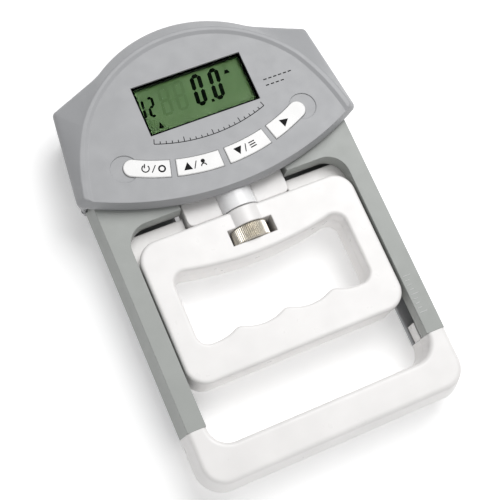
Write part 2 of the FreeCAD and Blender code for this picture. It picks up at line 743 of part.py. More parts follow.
def make_palm_bar():
    """Front and rear halves of the white palm bar, with tongues that enter the arms."""
    slope = d.arm_bulge - d.arm_ridge
    wall = d.bar_wall
    front = new_body("palm_bar_front")
    loft(front, "PartDesign::AdditiveLoft", [
        (d.parting, bar_outline(ZERO, ZERO)), (d.arm_face, bar_outline(slope, ZERO))])
    round_edges(front, d.bar_round.number, lambda points, edge: front_rim(points))
    pocket(front, "XY_Plane", d.parting - d.over, d.arm_face - wall, [bar_outline(slope, wall)])
    pad(front, "XY_Plane", d.parting, d.arm_face - wall + d.bite, BAR_SCREWS)
    pocket(front, "XY_Plane", d.parting - d.over, d.pilot_end, resized(BAR_SCREWS, d.pilot_rad))

    rear = new_body("palm_bar_rear")
    back = d.arm_bulge - d.arm_back
    loft(rear, "PartDesign::AdditiveLoft", [
        (ZERO, bar_outline(back + d.back_bevel, ZERO)), (d.back_bevel, bar_outline(back, ZERO)),
        (d.parting, bar_outline(ZERO, ZERO))])
    pocket(rear, "XY_Plane", wall, d.parting + d.over, [bar_outline(back + d.bite, wall)])
    pad(rear, "XY_Plane", wall - d.bite, d.parting, resized(BAR_SCREWS, d.wide_post_rad))
    tongue_in, tongue_out = d.arm_inner + d.tongue_side, d.arm_back - d.arm_wall - d.slip
    tongue = rectangle((tongue_in, tongue_out),
                       (d.seam - d.tongue_root, d.seam + d.tongue_len - d.tongue_gap))
    pad(rear, "XY_Plane", d.back_skin + d.tongue_slip, d.parting - d.tongue_slip, both(tongue))
    pocket(rear, "XY_Plane", -d.over, d.parting + d.over, resized(BAR_SCREWS + TONGUE_SCREWS, d.way_rad))
    pocket(rear, "XY_Plane", -d.over, d.head_sink, resized(BAR_SCREWS, d.head_way))


def front_rim(points):
    """Edges that lie in the front face of the arms and palm bar, clear of the seam."""
    face = d.arm_face.number
    seam = d.seam.number
    flat = all(abs(point.z - face) < 1e-3 for point in points)
    return flat and not all(abs(point.y - seam) < 1e-3 for point in points)


# ---------------------------------------------------------------- sliding grip
def make_grip():
    """Front and rear halves of the sliding grip; the rear one has the guide flange."""
    corner = d.grip_corner
    outer = rounded_rectangle(d.grip_half, d.grip_bottom, d.grip_top, corner, corner)
    window = rectangle((-d.window_half, d.window_half), (d.window_low, d.window_high))
    front = new_body("grip_front")
    pad(front, "XY_Plane", d.grip_split, d.grip_face, [outer, finger_hole()])
    face = d.grip_face.number
    round_edges(front, d.grip_edge.number, lambda points, edge: level_at(points, face))
    crest = d.stem_level + d.stem_rad
    hump = [
        (ZERO, crest, d.stem_rad, 1), (-d.stem_rad, d.stem_level, d.stem_rad, 1),
        (-d.stem_rad, d.grip_split), (d.stem_rad, d.grip_split), (d.stem_rad, d.stem_level),
    ]
    pad(front, "XZ_Plane", -d.grip_top, -d.window_high, [hump])
    pocket(front, "XY_Plane", d.grip_split - d.over, d.grip_face + d.window_clear, [window])
    hole = (ZERO, d.stem_level, d.screw_rad + d.thread_gap)
    pocket(front, "XZ_Plane", -d.grip_top - d.over, d.bore_end, [hole])
    pocket(front, "XY_Plane", d.grip_split - d.over, d.grip_pilot_end, resized(GRIP_SCREWS, d.pilot_rad))

    rear = new_body("grip_rear")
    pad(rear, "XY_Plane", d.grip_back, d.grip_split, [outer, finger_hole()])
    back = d.grip_back.number
    round_edges(rear, d.grip_edge.number, lambda points, edge: level_at(points, back))
    flange = [
        (d.flange_half, d.flange_low), (d.flange_half, d.flange_top - corner),
        (d.flange_half - corner, d.flange_top, corner, 1), (d.flange_notch, d.flange_top),
        (d.flange_notch, d.notch_floor - d.notch_lap), (d.hole_half + d.flange_lap, ZERO),
        (d.hole_half + d.flange_lap, d.flange_low),
    ]
    pad(rear, "XY_Plane", d.grip_back, d.grip_split, both(flange))
    pocket(rear, "XY_Plane", d.stem_level - d.knob_rad - d.slip, d.grip_split + d.over, [window])
    pocket(rear, "XY_Plane", d.grip_back - d.over, d.grip_split + d.over, resized(GRIP_SCREWS, d.way_rad))
    pocket(rear, "XY_Plane", d.grip_back - d.over, d.grip_back + d.grip_head_sink,
           resized(GRIP_SCREWS, d.head_way))


# ---------------------------------------------------------------- adjusting gear and load path
def make_adjuster():
    """Knurled knob pinned to the screw, the sleeve that the screw enters, and its brass nut."""
    knob = new_body("knurled_knob")
    bevel = 0.5
    turn_about_y(knob, d.stem_level, [[
        (d.screw_rad, d.knob_low), (d.knob_rad - bevel, d.knob_low),
        (d.knob_rad, d.knob_low + bevel), (d.knob_rad, d.knob_high - bevel),
        (d.knob_rad - bevel, d.knob_high), (d.screw_rad, d.knob_high)]])
    pin_y = (d.knob_low + d.knob_high) / 2
    pin_hole = (pin_y, d.stem_level, d.pin_rad)
    reach = d.knob_rad + d.over
    pocket(knob, "YZ_Plane", -reach, reach, [pin_hole])

    screw = new_body("adjusting_screw")
    tip = 0.8
    turn_about_y(screw, d.stem_level, [[
        (ZERO, d.screw_low), (d.screw_rad - tip, d.screw_low), (d.screw_rad, d.screw_low + tip),
        (d.screw_rad, d.screw_high - tip), (d.screw_rad - tip, d.screw_high),
        (ZERO, d.screw_high)]])
    pocket(screw, "YZ_Plane", -reach, reach, [pin_hole])
    pin_reach = d.knob_rad - d.pin_inset
    pin = rod("X", d.pin_rad, pin_reach * 2, -pin_reach, pin_y, d.stem_level)
    part(pin, "knob_pin")

    bore = d.screw_rad + d.thread_gap
    nut_rad, nut_low = d.nut_rad, d.stem_low + d.nut_inset
    nut_high = d.stem_low + d.nut_reach
    sleeve = new_body("stem_sleeve")
    turn_about_y(sleeve, d.stem_level, [[
        (nut_rad, d.stem_low), (d.stem_rad, d.stem_low), (d.stem_rad, d.stem_high),
        (d.barrel_rad, d.stem_high), (d.barrel_rad, d.barrel_high), (ZERO, d.barrel_high),
        (ZERO, d.barrel_high - d.barrel_cap), (bore, d.barrel_high - d.barrel_cap), (bore, nut_high),
        (nut_rad, nut_high)]])
    nut = new_body("screw_nut")
    turn_about_y(nut, d.stem_level, [[
        (bore, nut_low), (nut_rad, nut_low), (nut_rad, nut_high), (bore, nut_high)]])


def make_load_path():
    """White block on the stem, bending-beam load cell, its anchor, screws and strain gauges."""
    low, high, back, face = d.block_low, d.block_high, d.block_back, d.block_face
    body = new_body("stem_block")
    pad(body, "XY_Plane", back, face, [rectangle((-d.block_half, d.block_half), (low, high))])
    round_edges(body, d.block_round.number, upright)
    foot = rectangle((-d.block_half, -d.block_foot), (high - d.block_lap, d.cell_low))
    pad(body, "XY_Plane", back, d.cell_face, [foot])
    pocket(body, "XZ_Plane", -high - d.over, -low + d.over, [(ZERO, d.stem_level, d.stem_rad)])
    level = d.block_screw_level
    columns = (-d.block_screw_near, -d.block_screw_far)
    for x in columns:
        pocket(body, "XZ_Plane", -d.cell_low - d.over, -low + d.over, [(x, level, d.tap_rad)])
        pocket(body, "XZ_Plane", -low - d.cell_head_seat, -low + d.over, [(x, level, d.cell_head_way)])

    beam = block((-d.cell_half, d.cell_half), (d.cell_low, d.cell_high),
                 (d.cell_back, d.cell_face))
    middle = (d.cell_low + d.cell_high) / 2
    under = d.cell_back - d.over
    depth = d.cell_face - d.cell_back + d.over * 2
    bores = [rod("Z", d.cell_bore_rad, depth, x, middle, under)
             for x in (-d.cell_bore_at, d.cell_bore_at)]
    slot = block((-d.cell_bore_at, d.cell_bore_at), (middle - d.slot_half, middle + d.slot_half),
                 (under, d.cell_face + d.over))
    taps = [rod("Y", d.tap_rad, d.block_tap + d.bite, x, d.cell_low - d.bite, level) for x in columns]
    stations = (d.anchor_near, d.anchor_far)
    anchors = [rod("Y", d.tap_rad, d.anchor_tap + d.over, x, d.cell_high - d.anchor_tap, d.anchor_level)
               for x in stations]
    part(cut(beam, *bores, slot, *taps, *anchors), "load_cell")

    far_side = d.cell_high + d.anchor_thick
    plate = block((d.anchor_near - d.anchor_lap, d.anchor_far + d.anchor_lap),
                  (d.cell_high, far_side), (d.back_skin, d.anchor_face))
    ways = [rod("Y", d.tap_rad, d.anchor_thick + d.over * 2, x, d.cell_high - d.over, d.anchor_level)
            for x in stations]
    part(cut(plate, *ways), "cell_anchor")

    front = [join(rod("Y", d.cell_head_rad, d.cell_head_len, x, low + d.seat_gap, level),
                  rod("Y", d.tap_rad, d.block_screw_len, x, low + d.cell_head_seat, level))
             for x in columns]
    rear = [join(rod("Y", d.tap_rad, d.anchor_screw_len, x, d.cell_high - d.anchor_screw_in,
                     d.anchor_level),
                 rod("Y", d.cell_head_rad, d.cell_head_len, x, far_side, d.anchor_level))
            for x in stations]
    part(group(*front, *rear), "cell_screws")

    thick = d.gauge_thick
    gauges = [block((x, x + d.gauge_len), (y, y + thick), (d.gauge_back, d.gauge_face))
              for x in (-d.gauge_left, d.gauge_right) for y in (d.cell_low - thick, d.cell_high)]
    part(group(*gauges), "strain_gauges")
    width, top, level = (-d.ribbon_out, -d.ribbon_in), d.ribbon_top, d.ribbon_back
    ribbon = join(block(width, (d.cell_high + thick, top), (level, level + d.ribbon_thick)),
                  block(width, (top - d.ribbon_thick, top), (level, d.board_back)))
    part(ribbon, "gauge_ribbon")


# ---------------------------------------------------------------- electronics
# Chips under the board: span in X, span in Y and depth; and the capacitor: X, Y, radius, length.
CHIPS = (((-8, 4), (50, 62), sized(1.8)), ((-22, -14), (48, 54), sized(1.6)),
         ((10, 15), (60, 63), sized(1.2)))
CAPACITOR = (sized(-19), sized(62), sized(3.2), sized(5.4))


def make_display():
    """Clear window, black mask, liquid-crystal glass, its holder and the contact strip."""
    wide, bottom, top = d.window_wide, d.window_bottom, d.window_top
    back, face, gap, sill_in = d.glass_back, d.glass_face, d.fit_gap, d.sill_inset
    across, along = (gap - wide, wide - gap), (bottom + gap, top - gap)
    part(block(across, along, (d.lens_back, d.lens_face)), "display_window")
    mask = new_body("display_mask")
    sill = rectangle((sill_in - wide, wide - sill_in), (bottom + sill_in, top - sill_in))
    flange = rectangle((-wide - d.mask_lap, wide + d.mask_lap),
                       (bottom - d.mask_lap, top + d.mask_lap))
    pad(mask, "XY_Plane", face, d.ceiling - d.joint_gap, [flange, sill])
    pad(mask, "XY_Plane", face, d.lens_back, [rectangle(across, along), sill])
    side = (-wide - d.glass_side, wide + d.glass_side)
    part(block(side, (bottom - d.glass_end, top + d.glass_end), (back, face)), "display_glass")
    holder = new_body("display_holder")
    pad(holder, "XY_Plane", d.board_face, back, [
        rectangle(side, (bottom + d.tray_lap, top + d.glass_end)),
        rectangle((d.holder_wall - wide, wide - d.holder_wall),
                  (bottom + d.mask_lap, top - d.holder_head))])
    strip = block((-wide, wide), (bottom - d.strip_lap, bottom + d.seat_gap), (d.board_face, back))
    part(strip, "contact_strip")


def make_board():
    """Main board with its parts underneath, its screws, and the rubber key mat on top."""
    body = new_body("main_board")
    half, low, high = d.board_half, d.board_low, d.board_high
    under, base, corner = d.board_back, d.board_face, d.board_corner
    pad(body, "XY_Plane", under, base, [[
        (half, low), (half, high - corner), (half - corner, high), (corner - half, high),
        (-half, high - corner), (-half, low)]])
    pocket(body, "XY_Plane", under - d.over, base + d.over, resized(BOARD_POSTS, d.board_hole))
    length = d.board_shank_len
    screws = [join(rod("Z", d.board_pilot_rad, length, x, y, base - length),
                   rod("Z", d.board_head_rad, d.screw_head_len, x, y, base))
              for x, y, _ in BOARD_POSTS]
    part(group(*screws), "board_screws")
    chips = [block(across, along, (under - deep, under)) for across, along, deep in CHIPS]
    can_x, can_y, can_rad, can_len = CAPACITOR
    part(group(*chips, rod("Z", can_rad, can_len, can_x, can_y, under - can_len)), "board_chips")
    part(rod("Z", d.buzzer_rad, d.buzzer_len, d.buzzer_x, d.buzzer_y, under - d.buzzer_len),
         "buzzer")

    mat = new_body("key_mat")
    sweep = d.mat_sweep
    inner, outer = d.key_inner - d.seat_gap, d.key_outer + d.slip
    reach = (inner * sine(sweep), outer * sine(sweep))
    drop = (d.key_centre - inner * cosine(sweep), d.key_centre - outer * cosine(sweep))
    pad(mat, "XY_Plane", base, base + d.mat_thick, [[
        (reach[1], drop[1], outer, 1), (reach[0], drop[0]), (-reach[0], drop[0], inner, -1),
        (-reach[1], drop[1])]])
    ring = (d.key_inner + d.key_outer) / 2
    for angle in ((d.key_gap + d.key_split) / 2, (d.key_start + d.key_end) / 2 + 1):
        x = ring * sine(angle)
        y = d.key_centre - ring * cosine(angle)
        pad(mat, "XY_Plane", base, d.mat_crown, pair(x, y, d.mat_dome_rad))


def make_power():
    """Battery door, two small cells, their springs and plates, and the two power leads."""
    door = new_body("battery_door")
    low, high, half, thick = d.door_low, d.door_high, d.door_half, d.door_thick
    lift = d.door_lift
    nose = (thick - lift) / 2
    pad(door, "YZ_Plane", -half, half, [[
        (low + nose, lift, nose, 1), (high, lift), (high, thick), (low + nose, thick),
        (low, nose + lift, nose, 1)]])
    length, radius, level = d.cell_length, d.cell_rad, d.battery_level
    start = -length / 2
    for name, y, way in (("battery_lower", d.battery_lower, 1), ("battery_upper", d.battery_upper, -1)):
        can = rod("X", radius, length, start, y, level)
        nub_start = -start if way > 0 else start - d.nub_len
        part(join(can, rod("X", d.nub_rad, d.nub_len, nub_start, y, level)), name)
    springs = []
    for y, way in ((d.battery_lower, -1), (d.battery_upper, 1)):
        spring = doc.addObject("Part::Cone", "spring")
        spring.Placement = FreeCAD.Placement(
            FreeCAD.Vector(), FreeCAD.Rotation(FreeCAD.Vector(0, 1, 0), 90 * way))
        spring.setExpression("Radius1", d.spring_tip.text)
        spring.setExpression("Radius2", d.spring_base.text)
        spring.setExpression("Height", d.spring_len.text)
        springs.append(place(spring, -start * way, y, level))
    part(group(*springs), "battery_springs")
    depth = (d.plate_back, d.plate_face)
    half = d.plate_half
    plates = [block((d.plate_in, d.plate_out), (y - half, y + half), depth)
              for y in (d.battery_lower, d.battery_upper)]
    link = block((-d.plate_out, -d.plate_in),
                 (d.battery_lower - half, d.battery_upper + half), depth)
    part(group(*plates, link), "contact_plates")
    middle = (d.plate_in + d.plate_out) / 2
    leads = [rod("Z", d.lead_rad, d.board_back - d.plate_face, middle, y, d.plate_face)
             for y in (d.battery_lower, d.battery_upper)]
    part(group(*leads), "power_leads")


def make_fasteners():
    """Case, palm-bar and grip screws, each kind one group of separate screws."""
    def self_tapper(x, y, start, length):
        return join(rod("Z", d.screw_head_rad, d.screw_head_len, x, y, start),
                    rod("Z", d.screw_shank_rad, length, x, y, start + d.screw_head_len))

    case = [self_tapper(x, y, d.screw_sink, d.screw_shank_len) for x, y, _ in COVER_POSTS + GUSSET_POSTS]
    part(group(*case), "case_screws")
    bar = [self_tapper(x, y, d.screw_sink, d.screw_shank_len) for x, y, _ in BAR_SCREWS + TONGUE_SCREWS]
    part(group(*bar), "palm_bar_screws")
    grip = [self_tapper(x, y, d.grip_back + d.grip_screw_sink, d.grip_shank_len) for x, y, _ in GRIP_SCREWS]
    part(group(*grip), "grip_screws")


make_front_frame()
make_back_case()
make_head_cover()
make_keys()
make_palm_bar()
make_grip()
make_adjuster()
make_load_path()
make_display()
make_board()
make_power()
make_fasteners()
doc.recompute()

faults = [obj.Label for obj in doc.Objects if {"Invalid", "Error"} & set(obj.State)]
for obj in parts:
    shape = obj.Shape
    if shape.isNull() or not shape.isValid():
        faults.append(obj.Label)
        continue
    print(f"{obj.Label:18s} {len(shape.Solids)} {shape.Volume:10.1f} {shape.BoundBox}")
if faults:
    raise SystemExit("failed: " + ", ".join(faults))
for obj in parts:
    obj.Shape.exportStep(f"parts/{obj.Label}.step")
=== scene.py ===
import bpy
import bmesh
import json
import math
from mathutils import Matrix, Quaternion, Vector


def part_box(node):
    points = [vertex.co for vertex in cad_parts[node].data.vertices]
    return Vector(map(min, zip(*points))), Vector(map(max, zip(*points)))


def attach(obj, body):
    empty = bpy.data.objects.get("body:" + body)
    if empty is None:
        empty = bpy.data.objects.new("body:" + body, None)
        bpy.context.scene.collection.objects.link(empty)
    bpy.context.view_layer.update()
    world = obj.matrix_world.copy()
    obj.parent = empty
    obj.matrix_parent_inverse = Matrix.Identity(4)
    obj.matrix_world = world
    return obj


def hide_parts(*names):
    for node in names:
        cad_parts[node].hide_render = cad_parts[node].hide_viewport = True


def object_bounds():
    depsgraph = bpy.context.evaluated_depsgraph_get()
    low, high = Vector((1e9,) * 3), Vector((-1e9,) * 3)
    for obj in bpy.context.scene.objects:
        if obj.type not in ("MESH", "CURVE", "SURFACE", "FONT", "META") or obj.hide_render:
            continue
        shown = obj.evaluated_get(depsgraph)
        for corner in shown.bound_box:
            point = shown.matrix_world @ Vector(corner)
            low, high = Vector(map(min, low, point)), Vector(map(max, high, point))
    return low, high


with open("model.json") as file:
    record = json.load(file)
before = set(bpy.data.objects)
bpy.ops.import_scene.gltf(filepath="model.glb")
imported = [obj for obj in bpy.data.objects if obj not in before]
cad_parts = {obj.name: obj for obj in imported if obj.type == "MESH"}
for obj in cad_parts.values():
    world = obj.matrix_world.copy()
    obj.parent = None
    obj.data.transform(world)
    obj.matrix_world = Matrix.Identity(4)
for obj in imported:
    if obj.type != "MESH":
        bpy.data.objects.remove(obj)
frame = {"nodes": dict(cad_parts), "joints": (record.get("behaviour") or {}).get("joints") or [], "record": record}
CAD_LOW, CAD_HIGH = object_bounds()
NODES = frame["nodes"]
JOINTS = {joint["name"]: joint for joint in frame["joints"]}
MM = 0.001
FINE_EDGE = 0.35 * MM
INK = 0.02 * MM


# ---------------------------------------------------------------- places read from the frame
# the panel stands a little over its window, and the printing lies on it
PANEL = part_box("display_window")[1].z + 0.2 * MM
KEY_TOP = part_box("button_up")[1].z
LCD_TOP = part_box("display_glass")[1].z
ARM_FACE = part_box("front_frame")[1].z
WINDOW_LOW, WINDOW_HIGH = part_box("display_window")
KNOB_AXIS = Vector(JOINTS["knob_spin"]["pos_m"])
# the keys and the printing above them lie on circles round this point
RING_CENTRE = Vector((0, 114 * MM, 0))


# ---------------------------------------------------------------- node helpers
class Shader:
    """A material's node tree round one Principled shader, in the frame's own metres."""

    def __init__(self, name, **constants):
        self.material = bpy.data.materials.new(name)
        self.material.use_nodes = True
        self.tree = self.material.node_tree
        self.surface = self.tree.nodes["Principled BSDF"]
        for socket, value in constants.items():
            self.surface.inputs[socket.replace("_", " ")].default_value = value
        self.place = self.tree.nodes.new("ShaderNodeTexCoord").outputs["Object"]

    def link(self, source, target):
        self.tree.links.new(source, target)

    def noise(self, period, detail=3, stretch=(1, 1, 1)):
        """Noise whose blobs are about one period across, drawn out along an axis by stretch."""
        mapping = self.tree.nodes.new("ShaderNodeMapping")
        mapping.inputs["Scale"].default_value = [1 / (period * axis) for axis in stretch]
        noise = self.tree.nodes.new("ShaderNodeTexNoise")
        noise.inputs["Scale"].default_value = 1
        noise.inputs["Detail"].default_value = detail
        self.link(self.place, mapping.inputs["Vector"])
        self.link(mapping.outputs["Vector"], noise.inputs["Vector"])
        return noise.outputs["Fac"]

    def colours(self, factor, dark, light):
        ramp = self.tree.nodes.new("ShaderNodeValToRGB")
        ramp.color_ramp.elements[0].position = 0.3
        ramp.color_ramp.elements[1].position = 0.7
        ramp.color_ramp.elements[0].color = (*dark, 1)
        ramp.color_ramp.elements[1].color = (*light, 1)
        self.link(factor, ramp.inputs["Fac"])
        self.link(ramp.outputs["Color"], self.surface.inputs["Base Color"])

    def ranged(self, factor, low, high, socket):
        scale = self.tree.nodes.new("ShaderNodeMapRange")
        scale.inputs["From Min"].default_value = 0.3
        scale.inputs["From Max"].default_value = 0.7
        scale.inputs["To Min"].default_value = low
        scale.inputs["To Max"].default_value = high
        self.link(factor, scale.inputs["Value"])
        self.link(scale.outputs["Result"], self.surface.inputs[socket])

    def rounded(self, radius):
        """Normals rounded off within a radius of every edge."""
        bevel = self.tree.nodes.new("ShaderNodeBevel")
        bevel.samples = 6
        bevel.inputs["Radius"].default_value = radius
        return bevel.outputs["Normal"]

    def rounder_below(self, level, wide, fine):
        """Edges rounded widely below a level and finely above it."""
        split = self.tree.nodes.new("ShaderNodeSeparateXYZ")
        self.link(self.place, split.inputs["Vector"])
        height = self.tree.nodes.new("ShaderNodeMapRange")
        blend = 0.8 * MM
        height.inputs["From Min"].default_value = level - blend
        height.inputs["From Max"].default_value = level
        self.link(split.outputs["Z"], height.inputs["Value"])
        mix = self.tree.nodes.new("ShaderNodeMixRGB")
        self.link(height.outputs["Result"], mix.inputs["Fac"])
        self.link(self.rounded(wide), mix.inputs["Color1"])
        self.link(self.rounded(fine), mix.inputs["Color2"])
        return mix.outputs["Color"]

    def bump(self, height, depth, normals=None):
        """Bump from height, over normals already rounded at the edges."""
        bump = self.tree.nodes.new("ShaderNodeBump")
        bump.inputs["Distance"].default_value = depth
        self.link(height, bump.inputs["Height"])
        self.link(normals or self.rounded(FINE_EDGE), bump.inputs["Normal"])
        self.link(bump.outputs["Normal"], self.surface.inputs["Normal"])


def shade(colour, factor):
    return tuple(min(1, channel * factor) for channel in colour)


def moulded_plastic(name, colour, rough, edge=FINE_EDGE, relief=0.02 * MM, soft_below=None,
                    **constants):
    """Injection-moulded plastic: faint flow mottling and a fine spark-eroded texture."""
    made = Shader(name, **constants)
    mottle, texture, shoulder, spread = 14 * MM, 0.5 * MM, 2.4 * MM, 0.05
    made.colours(made.noise(mottle), shade(colour, 0.965), shade(colour, 1.02))
    made.ranged(made.noise(6 * MM), rough - spread, rough + spread, "Roughness")
    if soft_below:
        normals = made.rounder_below(soft_below, shoulder, edge)
    else:
        normals = made.rounded(edge)
    made.bump(made.noise(texture, detail=2), relief, normals)
    return made.material


def worked_metal(name, colour, rough, stretch=(1, 1, 1), edge=FINE_EDGE):
    """Metal with tool marks drawn out along one axis and slightly uneven tarnish."""
    made = Shader(name, Metallic=1.0)
    made.colours(made.noise(3 * MM), shade(colour, 0.86), shade(colour, 1.08))
    grain = made.noise(0.3 * MM, stretch=stretch)
    made.ranged(grain, rough - 0.08, rough + 0.1, "Roughness")
    made.bump(grain, 0.012 * MM, made.rounded(edge))
    return made.material


def clear_plastic(name, colour, rough, **constants):
    """Clear moulded plastic with a faint drift of tint and polish."""
    made = Shader(name, **constants)
    made.colours(made.noise(20 * MM), shade(colour, 0.98), colour)
    made.ranged(made.noise(8 * MM), rough, rough + 0.03, "Roughness")
    return made.material


def display_film():
    """Green polariser: fine cell grain and a slow drift of tone across the glass."""
    made = Shader("display_green", Specular_IOR_Level=0.1)
    made.colours(made.noise(16 * MM), (0.078, 0.155, 0.052), (0.108, 0.195, 0.075))
    made.ranged(made.noise(3 * MM), 0.28, 0.36, "Roughness")
    made.bump(made.noise(0.35 * MM, detail=1), 0.004 * MM)
    return made.material


def make_materials():
    grey = (0.37, 0.375, 0.387)
    arm_grey = (0.375, 0.392, 0.375)
    white = (0.90, 0.885, 0.875)
    along_y = (1, 12, 1)
    return {
        "housing_grey": moulded_plastic(
            "housing_grey", grey, 0.42, soft_below=PANEL - 0.8 * MM),
        "frame_grey": moulded_plastic("frame_grey", arm_grey, 0.44),
        "white_plastic": moulded_plastic(
            "white_plastic", white, 0.32, edge=0.8 * MM, relief=0.008 * MM),
        "key_white": moulded_plastic("key_white", (0.86, 0.855, 0.85), 0.30, relief=0.006 * MM),
        "sleeve_white": moulded_plastic(
            "sleeve_white", (0.96, 0.96, 0.965), 0.26, relief=0.006 * MM),
        "clear_window": clear_plastic(
            "clear_window", (0.98, 1.0, 0.98), 0.03, Transmission_Weight=1.0, IOR=1.01),
        "black_mask": moulded_plastic("black_mask", (0.012, 0.012, 0.013), 0.5),
        "display_green": display_film(),
        "holder_white": moulded_plastic("holder_white", (0.70, 0.70, 0.66), 0.5),
        "strip_rubber": moulded_plastic("strip_rubber", (0.22, 0.08, 0.10), 0.7),
        "board_green": moulded_plastic("board_green", (0.02, 0.16, 0.06), 0.35),
        "chip_black": moulded_plastic("chip_black", (0.02, 0.02, 0.022), 0.45),
        "rubber_grey": moulded_plastic("rubber_grey", (0.30, 0.30, 0.32), 0.7),
        "cell_aluminium": worked_metal("cell_aluminium", (0.78, 0.79, 0.80), 0.3, along_y),
        "anchor_steel": worked_metal("anchor_steel", (0.55, 0.55, 0.57), 0.38, along_y),
        "screw_steel": worked_metal("screw_steel", (0.52, 0.52, 0.53), 0.34),
        "knob_steel": worked_metal("knob_steel", (0.72, 0.68, 0.60), 0.38, along_y, edge=0.05 * MM),
        "nut_brass": worked_metal("nut_brass", (0.70, 0.50, 0.20), 0.3),
        "gauge_foil": moulded_plastic("gauge_foil", (0.60, 0.34, 0.10), 0.4),
        "ribbon_orange": moulded_plastic("ribbon_orange", (0.55, 0.22, 0.05), 0.4),
        "battery_wrap": moulded_plastic("battery_wrap", (0.05, 0.055, 0.07), 0.28),
        "spring_steel": worked_metal("spring_steel", (0.75, 0.75, 0.77), 0.2),
        "lead_red": moulded_plastic("lead_red", (0.42, 0.02, 0.02), 0.45),
        "ink_black": moulded_plastic(
            "ink_black", (0.010, 0.010, 0.011), 0.6, edge=0.02 * MM, Specular_IOR_Level=0.08),
        # the arm scale's paler grey is a painted highlight, for the light that its raised marks catch
        "scale_light": moulded_plastic("scale_light", (0.60, 0.61, 0.60), 0.4),
        "segment_dark": moulded_plastic(
            "segment_dark", (0.004, 0.007, 0.004), 0.6, edge=0.02 * MM, Specular_IOR_Level=0.0),
        "segment_ghost": moulded_plastic(
            "segment_ghost", (0.078, 0.152, 0.053), 0.4, edge=0.02 * MM, Specular_IOR_Level=0.1),
    }


MATERIALS = make_materials()


def dress_cad_nodes():
    """Every CAD node takes the material of its record slot."""
    for entry in frame["record"]["subparts"]:
        mesh = NODES[entry["node"]].data
        mesh.materials.clear()
        mesh.materials.append(MATERIALS[entry["material_slot"]])


# ---------------------------------------------------------------- mesh helpers
def add_piece(name, verts, faces, finish, body, smooth_angle=None):
    """A mesh piece that rides on a body. Ink and display films aren't slots of the record."""
    mesh = bpy.data.meshes.new(name)
    mesh.from_pydata([tuple(v) for v in verts], [], faces)
    mesh.validate()
    piece = bpy.data.objects.new(name, mesh)
    bpy.context.scene.collection.objects.link(piece)
    mesh.materials.append(MATERIALS[finish])
    tidy = bmesh.new()
    tidy.from_mesh(mesh)
    bmesh.ops.recalc_face_normals(tidy, faces=tidy.faces)
    tidy.to_mesh(mesh)
    tidy.free()
    if smooth_angle is not None:
        mesh.shade_smooth()
        mesh.set_sharp_from_angle(angle=math.radians(smooth_angle))
    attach(piece, body)
    return piece


def slab(outline, low, high, verts, faces):
    """Adds a convex flat outline of (x, y), raised between two levels."""
    start = len(verts)
    count = len(outline)
    verts.extend(Vector((x, y, low)) for x, y in outline)
    verts.extend(Vector((x, y, high)) for x, y in outline)
    faces.append([start + k for k in reversed(range(count))])
    faces.append([start + count + k for k in range(count)])
    for k in range(count):
        after = (k + 1) % count
        faces.append([start + k, start + after, start + count + after, start + count + k])


def lathe(profile, steps, radius_at=None):
    """Rings about the knob's axis from (radius, y) points; radius_at may vary one by angle."""
    verts = []
    faces = []
    for radius, y in profile:
        for k in range(steps):
            angle = 2 * math.pi * k / steps
            reach = radius_at(radius, k) if radius_at else radius
            verts.append(Vector((reach * math.cos(angle), y, KNOB_AXIS.z + reach * math.sin(angle))))
    for row in range(len(profile) - 1):
        for k in range(steps):
            after = (k + 1) % steps
            faces.append([row * steps + k, row * steps + after,
                          (row + 1) * steps + after, (row + 1) * steps + k])
    faces.append(list(range(steps)))
    faces.append([(len(profile) - 1) * steps + k for k in reversed(range(steps))])
    return verts, faces


# ---------------------------------------------------------------- adjusting gear
def make_knob():
    """Steel knob with straight knurling and a bevel at each end."""
    low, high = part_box("knurled_knob")
    radius = (high.x - low.x) / 2
    teeth = 56
    groove = 0.5 * MM
    bevel = 0.45 * MM

    def knurled(reach, step):
        cut = groove if step % 2 and reach > radius - bevel else 0
        return reach - cut

    profile = [(radius - bevel - groove, low.y), (radius, low.y + bevel),
               (radius, high.y - bevel), (radius - bevel - groove, high.y)]
    verts, faces = lathe(profile, teeth * 2, knurled)
    knob = add_piece("knob_knurled", verts, faces, "knob_steel", "knob")
    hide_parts("knurled_knob")


def make_screw():
    """Adjusting screw with a helical thread at the joint's own pitch."""
    low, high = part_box("adjusting_screw")
    radius = (high.x - low.x) / 2
    ratio = next(c["ratio"] for c in frame["record"]["behaviour"]["couplings"])
    pitch = 2 * math.pi / ratio
    depth = 0.45 * MM
    steps, rows_per_turn = 24, 6
    tip_share, tip_length = 0.62, 2 * MM
    rows = round((high.y - low.y) / pitch * rows_per_turn)
    verts = []
    faces = []
    for row in range(rows + 1):
        y = low.y + (high.y - low.y) * row / rows
        taper = min(1, tip_share + min(y - low.y, high.y - y) / tip_length)
        for k in range(steps):
            angle = 2 * math.pi * k / steps
            phase = (y / pitch + k / steps) % 1
            reach = (radius - depth * abs(2 * phase - 1)) * taper
            verts.append(Vector((reach * math.cos(angle), y, KNOB_AXIS.z + reach * math.sin(angle))))
    for row in range(rows):
        for k in range(steps):
            after = (k + 1) % steps
            faces.append([row * steps + k, row * steps + after,
                          (row + 1) * steps + after, (row + 1) * steps + k])
    faces.append(list(range(steps)))
    faces.append([rows * steps + k for k in reversed(range(steps))])
    screw = add_piece("screw_threaded", verts, faces, "screw_steel", "knob", 50)
    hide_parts("adjusting_screw")


